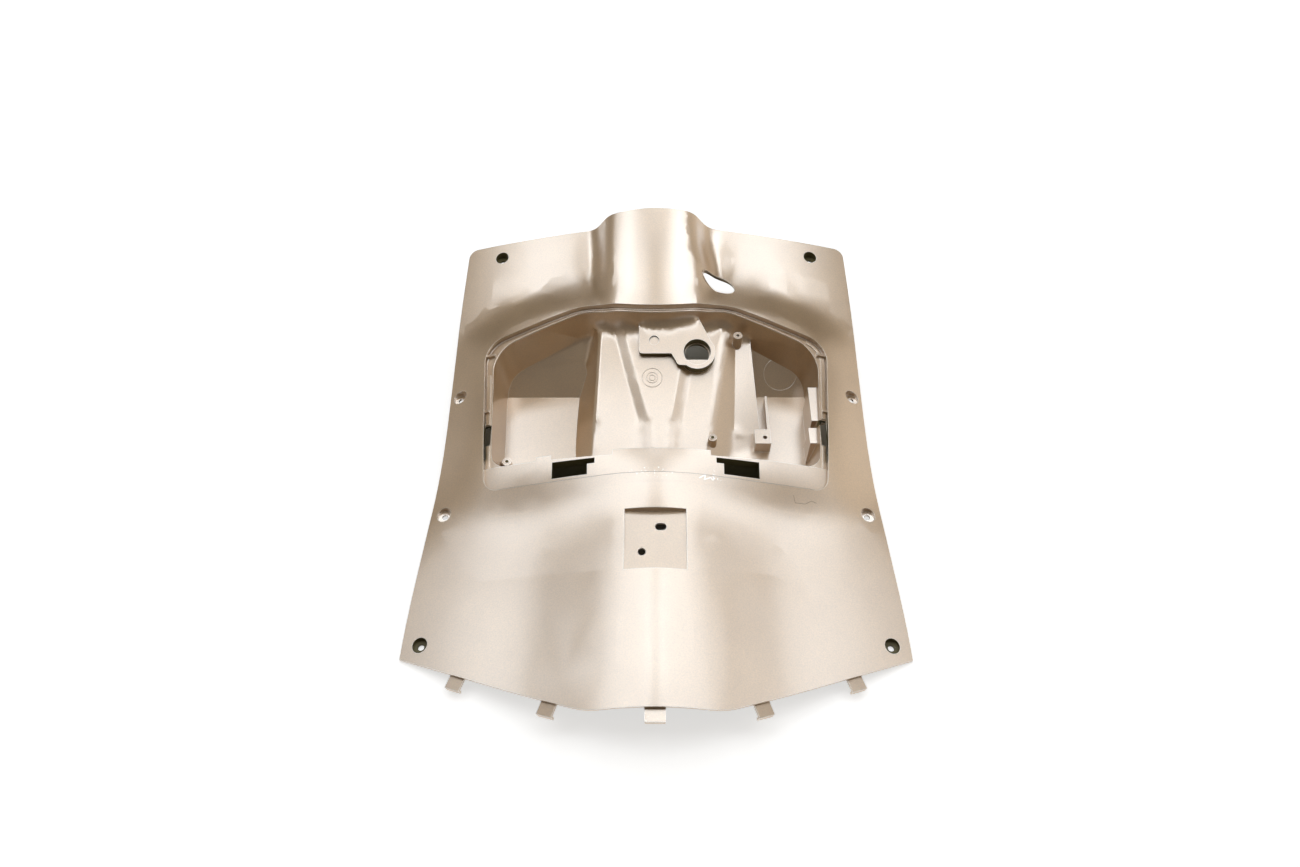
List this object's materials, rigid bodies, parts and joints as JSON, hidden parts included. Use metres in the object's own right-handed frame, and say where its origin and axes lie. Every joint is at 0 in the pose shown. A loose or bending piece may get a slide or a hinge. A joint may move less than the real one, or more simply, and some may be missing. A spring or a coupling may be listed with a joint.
{
  "type": "scooter leg shield",
  "caption": "Moulded inner leg shield of a small scooter, with glovebox tub, column tunnel, lock bracket and sunk screw seats.",
  "frame": {"origin": "middle of the footprint, at the height of the lowest point, lying face up", "axes": "+X to the rider's right as seen in the picture, +Y towards the steering column, +Z out of the painted face"},
  "size_m": [0.3932, 0.4536, 0.1061],
  "materials": {
    "painted_plastic": "metallic champagne paint"
  },
  "bodies": {
    "root": {"leg_shield": "painted_plastic"}
  },
  "joints": []
}
